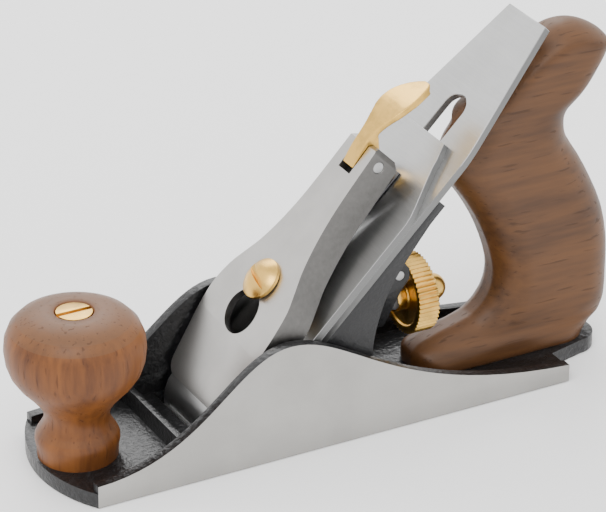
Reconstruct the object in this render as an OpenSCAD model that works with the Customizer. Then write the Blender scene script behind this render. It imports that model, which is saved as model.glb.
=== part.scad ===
// Bench smoothing plane, No. 4 size, with its full adjusting mechanism.
// X runs from the toe (-X) to the heel (+X), Y across the sole, Z up from the sole.
// The origin is the middle of the sole. Most of the mechanism is drawn in the bed
// frame: s runs up the bed from the mouth, h stands out from the face of the blade.

/* [Body casting] */
// Length of the sole from the toe to the heel
body_len = 242; // [225:0.5:300]
// Width over the two ground sides
body_w = 63.5; // [60:0.5:80]
// Thickness of the sole
sole_t = 6; // [5:0.1:8]
// Thickness of each side wall
wall_t = 4.2; // [3.5:0.1:5]
// Height of the cheeks at their peak
cheek_h = 47.5; // [42:0.5:56]
// Height of the side walls at the toe corner
toe_wall_h = 9.1; // [8:0.1:11]
// Height of the side walls at the heel
heel_wall_h = 7.2; // [7:0.1:9]
// Distance from the toe tip back to the face of the blade, at the sole
mouth_from_toe = 64; // [60:0.25:77]
// How far the curved toe bulges past the side walls
toe_bulge = 10; // [6:0.25:12]
// Length of the narrow tail behind the side walls
tail_len = 26.25; // [20:0.25:31]
// Gap between the front of the mouth and the blade
mouth_gap = 2; // [1.3:0.1:2.5]
// Height of the cross rib in front of the mouth
rib_h = 14; // [10:0.5:18]
// Height of the seat that the frog stands on
seat_h = 8.5; // [8:0.5:10]

/* [Blade and chip breaker] */
// Angle of the bed
bed_angle = 45; // [45:0.5:46]
// Width of the blade
blade_w = 50.8; // [45:0.1:52]
// Thickness of the blade
blade_t = 3; // [2.5:0.1:3.6]
// Length of the blade
blade_len = 206.4; // [185:0.5:210]
// Width of the blade at its top end
blade_top_w = 26.2; // [20:0.1:35]
// Width of the long slot in the blade
blade_slot_w = 12.8; // [12.5:0.1:15]
// Thickness of the chip breaker
breaker_t = 3; // [2.5:0.1:3.6]
// Height of the cutting edge above the sole when it is drawn in
edge_lift = 0.3; // [0.2:0.1:0.6]

/* [Lever cap] */
// Width of the lever cap at its wide lower half
cap_w = 50; // [44:0.1:50.5]
// Width of the lever cap at its narrow top
cap_top_w = 19; // [18:0.1:24]
// Thickness of the lever cap's walls
cap_wall = 3; // [2.5:0.1:3.2]
// Width of the brass cam lever where it sits in the cap
lever_w = 7.6; // [6:0.1:8]
// Diameter of the pin that the cam lever turns on
cam_pin_d = 4.6; // [3.5:0.1:5.5]
// Diameter of the lever cap screw's shank
cap_screw_d = 6.4; // [5.5:0.1:7]
// How far the cap slides up to let go of its screw
cap_travel = 14.3; // [12:0.1:15]

/* [Depth adjuster] */
// Diameter of the knurled wheel
wheel_d = 32; // [28:0.5:38]
// Thickness of the knurled wheel
wheel_t = 9; // [7:0.1:10]
// Number of teeth in the coarse knurl
wheel_teeth = 50; // [36:1:60]
// Height of the wheel's axis above the sole
stud_z = 38.5; // [38:0.5:40]
// Diameter of the stud that the wheel runs on
stud_d = 6.4; // [5.5:0.1:7]
// Diameter of the yoke's pivot pin
yoke_pin_d = 4; // [3:0.1:4.6]
// Length of the yoke from its pin down to the stud
yoke_drop = 14.5; // [14:0.1:16]

/* [Handles] */
// Diameter of the front knob
knob_d = 53.6; // [45:0.1:54]
// Height of the front knob
knob_h = 60.6; // [52:0.2:74]
// Diameter of the knob's foot
knob_foot_d = 30.8; // [28:0.1:33]
// Distance from the toe tip to the knob's axis
knob_from_toe = 16.6; // [16:0.1:24]
// Thickness of the tote across the grip
tote_t = 25; // [21:0.5:28]
// Width of the tote at its base
tote_base_w = 29; // [26:0.5:32]
// Diameter of the two threaded rods that hold the handles
rod_d = 6; // [5:0.1:7]

/* [Clearances] */
// Radial gap of a pin or stud that something turns on
run_fit = 0.06; // [0.03:0.01:0.09]
// Gap between faces that slide past each other
slide_gap = 0.35; // [0.3:0.05:0.5]
// Radial gap of a rod or a screw in a plain hole
hole_gap = 0.3; // [0.2:0.05:0.5]

/* [Hidden] */
$fn = 64;

half_w = body_w / 2;
inner_w = half_w - wall_t;
toe_x = -body_len / 2;
heel_x = body_len / 2;
toe_half = half_w + 0.05;
toe_r = (toe_half * toe_half + toe_bulge * toe_bulge) / (2 * toe_bulge);
wall_x0 = toe_x + toe_bulge;
wall_x1 = heel_x - tail_len;
mouth_x = toe_x + mouth_from_toe;
peak_x = mouth_x + 27;
sin_b = sin(bed_angle);
cos_b = cos(bed_angle);
knob_x = toe_x + knob_from_toe;

// Bed frame to body frame, and back
function bx(s, h) = mouth_x + s * cos_b - h * sin_b;
function bz(s, h) = s * sin_b + h * cos_b;
function bed_s(x, z) = (x - mouth_x) * cos_b + z * sin_b;
function bed_h(x, z) = z * cos_b - (x - mouth_x) * sin_b;

// Ease curve from 0 to 1, and its clamp
function ease(u) = (1 - cos(180 * min(1, max(0, u)))) / 2;
function mix(a, b, u) = a + (b - a) * u;

// Cubic curve between two end points and their two handles
function bez(a, b, c, d, t) = a * pow(1 - t, 3) + 3 * b * t * pow(1 - t, 2) + 3 * c * t * t * (1 - t) + d * pow(t, 3);
function bend(a, b, c, d, n) = [for (i = [0 : n]) bez(a, b, c, d, i / n)];

// Smooth curve through a few points
function cr(a, b, c, d, t) = 0.5 * (2 * b + (c - a) * t + (2 * a - 5 * b + 4 * c - d) * t * t
    + (3 * b - a - 3 * c + d) * t * t * t);
function curve(p, n) = [for (i = [0 : len(p) - 2], j = [0 : (i == len(p) - 2 ? n : n - 1)])
    cr(p[max(0, i - 1)], p[i], p[i + 1], p[min(len(p) - 1, i + 2)], j / n)];

module bed() {
    translate([mouth_x, 0, 0]) rotate([0, -bed_angle, 0]) children();
}
// A side profile in X and Z, given a width across Y
module slab(points, w) {
    rotate([90, 0, 0]) translate([0, 0, -w / 2]) linear_extrude(height = w) polygon(points);
}
// A plate outline in s and y, standing along h
module plate(points, h0, h1) {
    translate([0, 0, h0]) linear_extrude(height = h1 - h0) polygon(points);
}
// A rod along X with its centre line on the given point
module rod_x(x0, x1, z, d) {
    translate([x0, 0, z]) rotate([0, 90, 0]) cylinder(h = x1 - x0, d = d);
}
module rod_y(x, z, w, d) {
    translate([x, w / 2, z]) rotate([90, 0, 0]) cylinder(h = w, d = d);
}

// ---- Body casting --------------------------------------------------------------
tail_r = 10.3;
tail_half = 19;
tail_step = 4.5;
cheek_steps = 22;
rib_x = mouth_x - 15.6;
rib_t = 2.5;
mouth_front = mouth_x - mouth_gap;
seat_x0 = mouth_x + seat_h + 5.6;
seat_x1 = mouth_x + 63;
seat_w = 40;
lug_x0 = mouth_x + 51;
lug_x1 = mouth_x + 59;
lug_w = 11;
lug_top = 15;
mouth_w = blade_w + 2;

cheek_up = (peak_x - wall_x0) / 81;
cheek_down = (wall_x1 - peak_x) / 124.75;
cheek_top = concat(
    bend([wall_x0, toe_wall_h], [wall_x0 + 45 * cheek_up, toe_wall_h + 0.9], [peak_x - 24 * cheek_up, cheek_h],
        [peak_x, cheek_h], cheek_steps),
    [for (p = bend([peak_x, cheek_h], [peak_x + 26 * cheek_down, cheek_h], [peak_x + 44 * cheek_down, 12.5],
        [wall_x1, heel_wall_h], cheek_steps)) if (p[0] > peak_x) p]);

tail_arc = [for (i = [0 : 8]) let (a = 11.25 * i)
    [heel_x - tail_r + tail_r * sin(a), tail_step + tail_r * cos(a)]];
tail_side = concat([[wall_x1 - 1, tail_half]], tail_arc);

module tail_plan() {
    linear_extrude(height = sole_t)
        polygon(concat(tail_side, [for (i = [len(tail_side) - 1 : -1 : 0]) [tail_side[i][0], -tail_side[i][1]]]));
}

module body_casting() color([0.62, 0.61, 0.59]) {
    difference() {
        union() {
            translate([wall_x0, -half_w, 0]) cube([wall_x1 - wall_x0, body_w, sole_t]);
            intersection() {
                translate([toe_x + toe_r, 0, 0]) cylinder(h = sole_t, r = toe_r, $fn = 128);
                translate([toe_x, -half_w, 0]) cube([toe_bulge + 1, body_w, sole_t]);
            }
            tail_plan();
            for (side = [-1, 1])
                translate([0, side * (half_w - wall_t / 2), 0])
                    slab(concat([[wall_x0, 0]], cheek_top, [[wall_x1, 0]]), wall_t);
            translate([rib_x, -inner_w - 1, sole_t - 1]) cube([rib_t, 2 * inner_w + 2, rib_h - sole_t + 1]);
            translate([seat_x0, -seat_w / 2, sole_t - 1]) cube([seat_x1 - seat_x0, seat_w, seat_h - sole_t + 1]);
            // Lug that the frog's adjusting screw is threaded through
            translate([lug_x0, -lug_w / 2, sole_t - 1]) cube([lug_x1 - lug_x0, lug_w, lug_top - sole_t + 1]);
        }
        // Mouth, wide enough behind the blade for the bevel and the frog's travel
        slab([[mouth_front, -1], [mouth_front - 0.4, sole_t + 1], [mouth_x + 7 + sole_t, sole_t + 1],
            [mouth_x + 5, -1]], mouth_w);
        // Tapped holes: knob rod, tote rod, frog screws and frog adjusting screw
        translate([knob_x, 0, 1.4]) cylinder(h = sole_t, d = rod_d + 2 * run_fit);
        tote_axis() translate([0, 0, 2]) cylinder(h = 12, d = rod_d + 2 * run_fit);
        for (side = [-1, 1])
            translate([frog_screw_x, side * frog_screw_y, 2.6])
                cylinder(h = seat_h, d = frog_screw_d + 2 * run_fit);
        rod_x(lug_x0 - 1, lug_x1 + 1, adjust_z, adjust_d + 2 * run_fit);
    }
}

// ---- Frog ----------------------------------------------------------------------
seat_gap = 0.05;
foot_z = seat_h + seat_gap;
bed_plate_t = 4;
frog_h = -blade_t - seat_gap;
frog_w = blade_w - 0.8;
frog_top_s = 130;
frog_foot_t = 5;
frog_foot_top = foot_z + frog_foot_t;
frog_x1 = mouth_x + 65.6;
web_t = 4.5;
frog_screw_x = mouth_x + 35;
frog_screw_y = 13;
frog_screw_d = 5.6;
frog_screw_head_d = 10.5;
frog_slot = 3.4;
cross_wall_t = 4;
cross_wall_top = 24;
notch_w = 15;
notch_top = 16;
head_slot_s0 = 75;
head_slot_s1 = 106;
head_slot_w = 19;
cap_screw_s = 64.8;
stud_boss_x = mouth_x + 81;
ear_in = 7.4;
boss_w = 2 * ear_in + 2;
ear_t = 3;
pivot_x = mouth_x + 86;
pivot_z = stud_z + yoke_drop;
ear_x1 = pivot_x + 4.2;
rivet_d = 5;
lateral_s = 122;
lateral_t = 1.5;
lateral_h = frog_h - 0.15;
lateral_recess_w = 21;
plate_screw_z = 20;
plate_screw_d = 3;

foot_x0 = mouth_x + foot_z + (blade_t + seat_gap) / cos_b + 0.69;
frog_side = concat(
    [[mouth_x + foot_z + (blade_t + seat_gap) / cos_b, foot_z],
        [bx(frog_top_s, frog_h), bz(frog_top_s, frog_h)]],
    [for (p = curve([[94.4, 85.7], [83.3, 71.8], [73.1, 57], [67.4, 41], [65.6, 28]], 4)) [mouth_x + p[0], p[1]]],
    [[frog_x1, foot_z]]);

module frog() color([0.2, 0.2, 0.21]) {
    difference() {
        union() {
            // Two side webs, the bed plate between them and the foot
            for (side = [-1, 1])
                translate([0, side * (frog_w - web_t) / 2, 0]) slab(frog_side, web_t);
            intersection() {
                bed() translate([-40, 0.4 - frog_w / 2, frog_h - bed_plate_t])
                    cube([frog_top_s + 40, frog_w - 0.8, bed_plate_t]);
                translate([mouth_x - 20, -frog_w, foot_z]) cube([200, 2 * frog_w, 200]);
            }
            slab([[foot_x0, foot_z], [foot_x0 + frog_foot_t, frog_foot_top],
                [frog_x1, frog_foot_top], [frog_x1, foot_z]], frog_w - 1);
            translate([frog_x1 - cross_wall_t, -frog_w / 2 + 1, foot_z])
                cube([cross_wall_t, frog_w - 2, cross_wall_top - foot_z]);
            // Block behind the bed that takes the cap screw and the stud
            slab([[bx(57, frog_h - 3), bz(57, frog_h - 3)], [stud_boss_x - 14, 31], [stud_boss_x, 32.5],
                [stud_boss_x, 44.5], [bx(73, frog_h - 3), bz(73, frog_h - 3)]], boss_w);
            // Two ears that carry the yoke's pin
            for (side = [-1, 1])
                translate([0, side * (ear_in + ear_t / 2), 0])
                    slab([[bx(62, frog_h - 2.6), bz(62, frog_h - 2.6)], [stud_boss_x - 12, 32.6], [stud_boss_x - 2, 32.9],
                        [pivot_x + 1, pivot_z - 6], [ear_x1, pivot_z - 2.4], [ear_x1, pivot_z + 2.4],
                        [pivot_x + 2, pivot_z + 5], [bx(103, frog_h - 2.6), bz(103, frog_h - 2.6)]], ear_t);
        }
        bed() {
            // Opening for the head of the breaker screw and for the yoke
            plate([[head_slot_s0, -head_slot_w / 2], [head_slot_s1, -head_slot_w / 2],
                [head_slot_s1, head_slot_w / 2], [head_slot_s0, head_slot_w / 2]], frog_h - bed_plate_t - 1.4, frog_h + 1);
            plate([[head_slot_s0, 0.2 - ear_in], [head_slot_s1, 0.2 - ear_in], [head_slot_s1, ear_in - 0.2],
                [head_slot_s0, ear_in - 0.2]], frog_h - 9, frog_h);
            translate([cap_screw_s, 0, frog_h - 12]) cylinder(h = 20, d = cap_screw_d - 0.5);
            // Shallow seat for the lateral lever, open at the top end
            plate([[head_slot_s1 - 4, -lateral_recess_w / 2], [frog_top_s + 1, -lateral_recess_w / 2],
                [frog_top_s + 1, lateral_recess_w / 2], [head_slot_s1 - 4, lateral_recess_w / 2]],
                lateral_h - lateral_t - 0.15, frog_h + 1);
            translate([lateral_s, 0, frog_h - 8]) cylinder(h = 10, d = rivet_d + 0.1);
        }
        rod_y(pivot_x, pivot_z, 2 * (ear_in + ear_t + 1), yoke_pin_d + 0.1);
        rod_x(stud_boss_x - 18, stud_boss_x + 1, stud_z, stud_d + 0.1);
        // Slotted holes for the two frog screws, with room for a driver above them
        for (side = [-1, 1]) {
            for (end = [-1, 1])
                translate([frog_screw_x + end * frog_slot / 2, side * frog_screw_y, foot_z - 1])
                    cylinder(h = frog_foot_t + 2, d = frog_screw_d + 2 * hole_gap);
            translate([frog_screw_x - frog_slot / 2, side * frog_screw_y - frog_screw_d / 2 - hole_gap, foot_z - 1])
                cube([frog_slot, frog_screw_d + 2 * hole_gap, frog_foot_t + 2]);
            translate([frog_screw_x, side * frog_screw_y, frog_foot_top + 1])
                cylinder(h = 60, d = frog_screw_head_d + 2);
        }
        // Notch round the casting's lug, and the tapped hole for the plate's screw
        translate([lug_x0 - 3, -notch_w / 2, foot_z - 1]) cube([40, notch_w, notch_top - foot_z + 1]);
        rod_x(frog_x1 - cross_wall_t - 1, frog_x1 + 1, plate_screw_z, plate_screw_d + 0.1);
    }
}

washer_t = 1.4;
washer_gap = 0.1;
module frog_screws() color([0.55, 0.55, 0.56]) {
    for (side = [-1, 1])
        translate([frog_screw_x, side * frog_screw_y, 3])
            difference() {
                union() {
                    cylinder(h = frog_foot_top + washer_t + washer_gap - 3, d = frog_screw_d);
                    translate([0, 0, frog_foot_top + washer_t + washer_gap - 3])
                        cylinder(h = 4, d1 = frog_screw_head_d, d2 = frog_screw_head_d - 2);
                }
                translate([-frog_screw_head_d, -0.6, frog_foot_top + washer_t + washer_gap - 0.2])
                    cube([2 * frog_screw_head_d, 1.2, 4]);
            }
}
module frog_screw_washers() color([0.6, 0.6, 0.6]) {
    for (side = [-1, 1])
        translate([frog_screw_x, side * frog_screw_y, frog_foot_top + washer_gap])
            difference() {
                cylinder(h = washer_t, d = frog_screw_head_d + 1);
                translate([0, 0, -1]) cylinder(h = washer_t + 2, d = frog_screw_d + 2 * run_fit);
            }
}

// ---- Frog adjusting screw and the plate that ties it to the frog -----------------
adjust_z = 11;
adjust_d = 5;
adjust_head_d = 8;
adjust_plate_t = 1.6;
adjust_x = frog_x1 + 0.2;
adjust_neck = adjust_d - 1.6;

module frog_adjusting_screw() color([0.58, 0.57, 0.55])
    difference() {
        union() {
            rod_x(lug_x0 - 1.5, adjust_x - slide_gap, adjust_z, adjust_d);
            rod_x(adjust_x - slide_gap - 1, adjust_x + adjust_plate_t + slide_gap + 1, adjust_z, adjust_neck);
            rod_x(adjust_x + adjust_plate_t + slide_gap, adjust_x + adjust_plate_t + 5, adjust_z, adjust_head_d);
        }
        translate([adjust_x + adjust_plate_t + 3.4, -adjust_head_d, adjust_z - 0.5])
            cube([4, 2 * adjust_head_d, 1]);
    }

module frog_adjusting_plate() color([0.5, 0.5, 0.5])
    difference() {
        translate([adjust_x, -6.5, seat_h + 0.4]) cube([adjust_plate_t, 13, cross_wall_top - seat_h - 1.4]);
        rod_x(adjust_x - 3, adjust_x + 4, plate_screw_z, plate_screw_d + 0.1);
        rod_x(adjust_x - 3, adjust_x + 4, adjust_z, adjust_neck + 2 * run_fit);
        translate([adjust_x - 3, -adjust_neck / 2 - run_fit, 0]) cube([8, adjust_neck + 2 * run_fit, adjust_z]);
    }

module plate_screw() color([0.55, 0.55, 0.55])
    difference() {
        union() {
            rod_x(frog_x1 - cross_wall_t, adjust_x + adjust_plate_t + 0.1, plate_screw_z, plate_screw_d);
            rod_x(adjust_x + adjust_plate_t + 0.05, adjust_x + adjust_plate_t + 1.8, plate_screw_z, 5.6);
        }
        translate([adjust_x + adjust_plate_t + 1, -4, plate_screw_z - 0.4]) cube([3, 8, 0.8]);
    }

// ---- Depth adjuster --------------------------------------------------------------
collar_r = 6;
groove_r = 4.3;
groove_w = 4;
fork_tip_d = 3.6;
fork_leg_t = 2.4;
collar_x0 = pivot_x - 2.8;
wheel_x0 = pivot_x + 6.2;
wheel_x1 = wheel_x0 + wheel_t;
wheel_gap = 0.3;
dome_len = 10.8;
dome_r = 5.5;
stud_x1 = wheel_x1 + 4;

module depth_stud() color([0.6, 0.6, 0.6])
    rod_x(stud_boss_x - 17.5, stud_x1, stud_z, stud_d);

module depth_collar() color([0.8, 0.62, 0.28])
    difference() {
        rod_x(collar_x0, wheel_x0 - wheel_gap, stud_z, 2 * collar_r);
        difference() {
            rod_x(pivot_x - groove_w / 2, pivot_x + groove_w / 2, stud_z, 4 * collar_r);
            rod_x(pivot_x - groove_w, pivot_x + groove_w, stud_z, 2 * groove_r);
        }
        rod_x(collar_x0 - 1, wheel_x0 + 1, stud_z, stud_d + 2 * run_fit);
    }

module depth_wheel() color([0.83, 0.66, 0.3])
    difference() {
        union() {
            translate([wheel_x0, 0, stud_z]) rotate([0, 90, 0])
                linear_extrude(height = wheel_t)
                    polygon([for (i = [0 : 2 * wheel_teeth - 1]) let (a = 180 * i / wheel_teeth,
                        r = wheel_d / 2 - (i % 2) * 1.1) [r * cos(a), r * sin(a)]]);
            rod_x(wheel_x1 - 1, wheel_x1 + dome_len - dome_r, stud_z, 2 * dome_r);
            translate([wheel_x1 + dome_len - dome_r, 0, stud_z]) sphere(r = dome_r);
        }
        rod_x(wheel_x0 - 1, stud_x1 + 2.8, stud_z, stud_d + 2 * run_fit);
        // Shallow dishes in both faces
        difference() {
            rod_x(wheel_x0 - 1, wheel_x0 + 0.8, stud_z, wheel_d - 7);
            rod_x(wheel_x0 - 2, wheel_x0 + 3, stud_z, 2 * collar_r);
        }
    }

yoke_t = 5;
yoke_arm_w = 8;
yoke_w = 2 * ear_in - 0.8;
yoke_s = bed_s(pivot_x, pivot_z);
pivot_h = bed_h(pivot_x, pivot_z);
yoke_tip_d = 4;
yoke_tip_h = 0.6;
fork_in = groove_r + 0.2;

module yoke() color([0.42, 0.41, 0.4])
    difference() {
        union() {
            // Arm that stands through the blade into the chip breaker
            bed() {
                translate([yoke_s - yoke_t / 2, -yoke_arm_w / 2, pivot_h]) cube([yoke_t, yoke_arm_w, 12]);
                slab([[yoke_s - yoke_t / 2, pivot_h + 12], [yoke_s - yoke_tip_d / 2, yoke_tip_h - 4],
                    [yoke_s - yoke_tip_d / 2, yoke_tip_h], [yoke_s + yoke_tip_d / 2, yoke_tip_h],
                    [yoke_s + yoke_tip_d / 2, yoke_tip_h - 4], [yoke_s + yoke_t / 2, pivot_h + 12]], yoke_arm_w);
                rod_y(yoke_s, yoke_tip_h, yoke_arm_w, yoke_tip_d);
            }
            rod_y(pivot_x, pivot_z, yoke_w, yoke_pin_d + 4);
            // Forked arm that hangs astride the collar
            translate([pivot_x - fork_leg_t / 2, -yoke_w / 2, stud_z + collar_r + 0.9])
                cube([fork_leg_t, yoke_w, pivot_z - stud_z - collar_r - 0.9]);
            for (side = [-1, 1])
                translate([0, side * (fork_in + yoke_w / 2) / 2, 0]) {
                    translate([pivot_x - fork_leg_t / 2, -(yoke_w / 2 - fork_in) / 2, stud_z])
                        cube([fork_leg_t, yoke_w / 2 - fork_in, collar_r + 2]);
                    rod_y(pivot_x, stud_z, yoke_w / 2 - fork_in, fork_tip_d);
                }
        }
        rod_y(pivot_x, pivot_z, yoke_w + 2, yoke_pin_d + 2 * run_fit);
    }

module yoke_pin() color([0.66, 0.66, 0.66]) rod_y(pivot_x, pivot_z, 2 * (ear_in + ear_t), yoke_pin_d);

// ---- Lateral adjusting lever -------------------------------------------------------
roller_s = lateral_s - 14;
roller_d = blade_slot_w - 3;
lateral_len = 18;

module lateral_lever() color([0.6, 0.6, 0.6])
    difference() {
        bed() {
            translate([roller_s, 0, lateral_h - lateral_t]) cylinder(h = lateral_t, d = 8);
            translate([lateral_s, 0, lateral_h - lateral_t]) cylinder(h = lateral_t, d = 12);
            plate([[roller_s, -4], [lateral_s, -6], [lateral_s + lateral_len, -4],
                [lateral_s + lateral_len, 4], [lateral_s, 6], [roller_s, 4]], lateral_h - lateral_t, lateral_h);
            // Thumb tab, folded down at the free end
            translate([lateral_s + lateral_len - 2, -7, lateral_h - 5]) cube([2, 14, 5]);
        }
        bed() {
            translate([lateral_s, 0, lateral_h - 5]) cylinder(h = 10, d = rivet_d + 2 * run_fit);
            translate([roller_s, 0, lateral_h - 5]) cylinder(h = 10, d = 3.1);
        }
    }
module lateral_pivot_rivet() color([0.7, 0.7, 0.7])
    bed() translate([lateral_s, 0, frog_h - bed_plate_t]) cylinder(h = bed_plate_t - 0.1, d = rivet_d);
module lateral_roller() color([0.66, 0.66, 0.66])
    bed() {
        translate([roller_s, 0, lateral_h - lateral_t]) cylinder(h = lateral_t + 0.2, d = 3);
        translate([roller_s, 0, lateral_h + 0.1]) cylinder(h = blade_t - 0.4, d = roller_d);
    }

// ---- Blade and chip breaker --------------------------------------------------------
edge_s = edge_lift / sin_b;
slot_s0 = 52;
slot_s1 = 161.2;
blade_end = edge_s + blade_len;
taper_s = blade_end - 57.5;
bevel_angle = 27;
taper_side = bend([taper_s - 6, blade_w / 2], [taper_s - 1, blade_w / 2], [taper_s + 2, blade_w / 2 - 0.5],
    [taper_s + 6, mix(blade_w / 2, blade_top_w / 2, 6 / 57.5)], 6);

module blade() color([0.8, 0.8, 0.79])
    bed() difference() {
        plate(concat([[edge_s, blade_w / 2]], taper_side, [[blade_end, blade_top_w / 2], [blade_end, -blade_top_w / 2]],
            [for (i = [6 : -1 : 0]) [taper_side[i][0], -taper_side[i][1]]], [[edge_s, -blade_w / 2]]), -blade_t, 0);
        slab([[edge_s, 0], [edge_s - 4, 0], [edge_s - 4, -8], [edge_s + 8 / tan(bevel_angle), -8]], blade_w + 2);
        translate([slot_s0, 0, -blade_t - 1]) cylinder(h = blade_t + 2, d = blade_slot_w + 5);
        translate([slot_s1, 0, -blade_t - 1]) cylinder(h = blade_t + 2, d = blade_slot_w);
        translate([slot_s0, -blade_slot_w / 2, -blade_t - 1]) cube([slot_s1 - slot_s0, blade_slot_w, blade_t + 2]);
    }

breaker_top = 148.2;
breaker_edge = 2.2;
breaker_screw_s = 85.5;
breaker_screw_d = 7;
yoke_slot = yoke_tip_d + 1.2;
hump = 3.4;

breaker_side = concat(bend([breaker_top - 33, blade_w / 2], [breaker_top - 28, blade_w / 2],
    [breaker_top - 14, blade_w / 2 - 8.4], [breaker_top - 6, 15.4], 6), [[breaker_top, 13]]);

module chip_breaker() color([0.78, 0.78, 0.77])
    bed() difference() {
        intersection() {
            slab([[breaker_top, 0], [breaker_top, breaker_t], [34, breaker_t], [26, breaker_t + 0.8],
                [20, breaker_t + 2.5], [15.5, breaker_t + hump], [11, breaker_t + hump - 0.5],
                [7, breaker_t + 1.2], [4, breaker_t - 0.9], [breaker_edge, 0.4], [breaker_edge, 0],
                [4.4, 0], [7.4, 1.7], [11.5, 3], [15.5, 3.4], [20, 2.5], [26, 0.8], [34, 0]], blade_w);
            plate(concat([[breaker_edge - 1, -blade_w / 2]],
                [for (p = breaker_side) [p[0], -p[1]]],
                [for (i = [len(breaker_side) - 1 : -1 : 0]) breaker_side[i]], [[breaker_edge - 1, blade_w / 2]]), -1, 9);
        }
        // Slot for the lever cap screw
        for (s = [cap_screw_s - 6, cap_screw_s + 6])
            translate([s, 0, -1]) cylinder(h = 9, d = cap_screw_d + 3);
        translate([cap_screw_s - 6, -cap_screw_d / 2 - 1.5, -1]) cube([12, cap_screw_d + 3, 9]);
        translate([breaker_screw_s, 0, -1]) cylinder(h = 9, d = breaker_screw_d + 2 * run_fit);
        translate([yoke_s - yoke_slot / 2, -yoke_arm_w / 2 - 0.6, -1]) cube([yoke_slot, yoke_arm_w + 1.2, 9]);
    }

module breaker_screw() color([0.5, 0.5, 0.5])
    bed() difference() {
        union() {
            translate([breaker_screw_s, 0, -blade_t - 3.1]) cylinder(h = 3.05, d = 14);
            translate([breaker_screw_s, 0, -blade_t - 1]) cylinder(h = blade_t + breaker_t + 0.9, d = breaker_screw_d);
        }
        translate([breaker_screw_s - 9, -0.8, -blade_t - 4]) cube([18, 1.6, 1.8]);
    }

// ---- Lever cap ---------------------------------------------------------------------
cap_s0 = 13.5;
cap_s1 = 131;
cap_lip = breaker_t + hump + slide_gap;
cam_s = 125.4;
cam_h = 17.7;
cam_swing = 8.3;
slot_s = cam_s - cam_swing - 0.3;
keyhole_w = 9;
keyhole_d = 18.4;
cap_flank = curve([[cap_s0 + 5.5, 24.4], [32, 24.5], [45, 25], [53, 24.9], [61.7, 23.2], [70, 19.4], [77.2, 16.1],
    [88.7, 12.9], [103.7, 10.7], [cap_s1 - 2, 9.5]], 4);
cap_spine = curve([[cap_s0, 9.8], [20, 12], [32, 15.2], [42, 17.5], [51.7, 18.9], [61.7, 19.5], [77.2, 20.4],
    [103.7, 22.1], [cap_s1 - 1.5, 23.6]], 4);
function cap_y(y) = mix(y * cap_top_w / 19, y * cap_w / 50, ease((y - 9.5) / 15));
cap_corner = cap_y(24.4);
cap_edge = concat(
    [for (i = [0 : 5]) let (a = 18 * i) [cap_s0 + 5.5 * (1 - sin(a)), cap_corner - 5.5 * (1 - cos(a))]],
    [], [for (p = cap_flank) if (p[0] > cap_s0 + 6) [p[0], cap_y(p[1])]], [[cap_s1, cap_top_w / 2 - 1.5]]);
cap_half = concat([for (i = [5 : -1 : 0]) cap_edge[i]], [for (i = [6 : len(cap_edge) - 1]) cap_edge[i]]);
function mirrored(p) = concat(p, [for (i = [len(p) - 1 : -1 : 0]) [p[i][0], -p[i][1]]]);
cap_hollow = [for (p = cap_half) if (p[0] > cap_s0 + 9 && p[0] < cap_s1 - 24) [p[0], p[1] - cap_wall]];

module lever_cap() color([0.74, 0.73, 0.71])
    bed() difference() {
        intersection() {
            plate(mirrored(cap_half), 2, 32);
            slab(concat([[cap_s0, cap_lip]], cap_spine, [[cap_s1, 22], [cap_s1, 12], [cap_s1 - 3, 9.6], [cap_s1 - 20, 8.4],
                [84, 7], [34, 5], [28, 5.4], [22, cap_lip]]), cap_w + 2);
        }
        // Hollow underside, with a round boss left for the spring
        difference() {
            intersection() {
                plate(mirrored(cap_hollow), 2, 32);
                slab([[cap_s0 + 9, 2], [cap_s0 + 9, 8.6], [32, 15.2 - cap_wall], [51.7, 18.9 - cap_wall],
                    [77.2, 20.4 - cap_wall], [cap_s1 - 24, 22 - cap_wall], [cap_s1 - 24, 2]], cap_w + 2);
            }
            translate([spring_rivet_s, 0, boss_h]) cylinder(h = 20, d = 8);
        }
        translate([94, -4.4, 2]) cube([14, 8.8, boss_h - 2]);
        // Keyhole: the round part lets the screw's head through
        translate([cap_screw_s - cap_travel, 0, 2]) cylinder(h = 30, d = keyhole_d);
        translate([cap_screw_s, 0, 2]) cylinder(h = 30, d = keyhole_w);
        translate([cap_screw_s - cap_travel, -keyhole_w / 2, 2]) cube([cap_travel, keyhole_w, 30]);
        // Slot for the cam lever, and the hole for its pin
        translate([slot_s, -lever_w / 2 - slide_gap, 2]) cube([30, lever_w + 2 * slide_gap, 40]);
        rod_y(cam_s, cam_h, cap_top_w + 2, cam_pin_d + 0.1);
        translate([spring_rivet_s, 0, 2]) cylinder(h = 14, d = 3.2);
    }

cap_head_h = 20.2;
cap_head_d = 17;
dome_rise = 3.4;
dome_sphere = (cap_head_d * cap_head_d / 4 + dome_rise * dome_rise) / (2 * dome_rise);
module lever_cap_screw() color([0.83, 0.66, 0.3])
    bed() translate([cap_screw_s, 0, 0]) difference() {
        union() {
            translate([0, 0, frog_h - 11]) cylinder(h = 12, d = cap_screw_d - 0.6);
            translate([0, 0, frog_h + 0.1]) cylinder(h = cap_head_h - frog_h, d = cap_screw_d);
            translate([0, 0, cap_head_h]) cylinder(h = 1.4, d = cap_head_d);
            intersection() {
                translate([0, 0, cap_head_h + 1.4 + dome_rise - dome_sphere]) sphere(r = dome_sphere);
                translate([0, 0, cap_head_h + 1.4]) cylinder(h = 10, d = cap_head_d);
            }
        }
        rotate([0, 0, 74]) translate([-10, -1.1, cap_head_h + 2.4]) cube([20, 2.2, 6]);
    }

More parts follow.
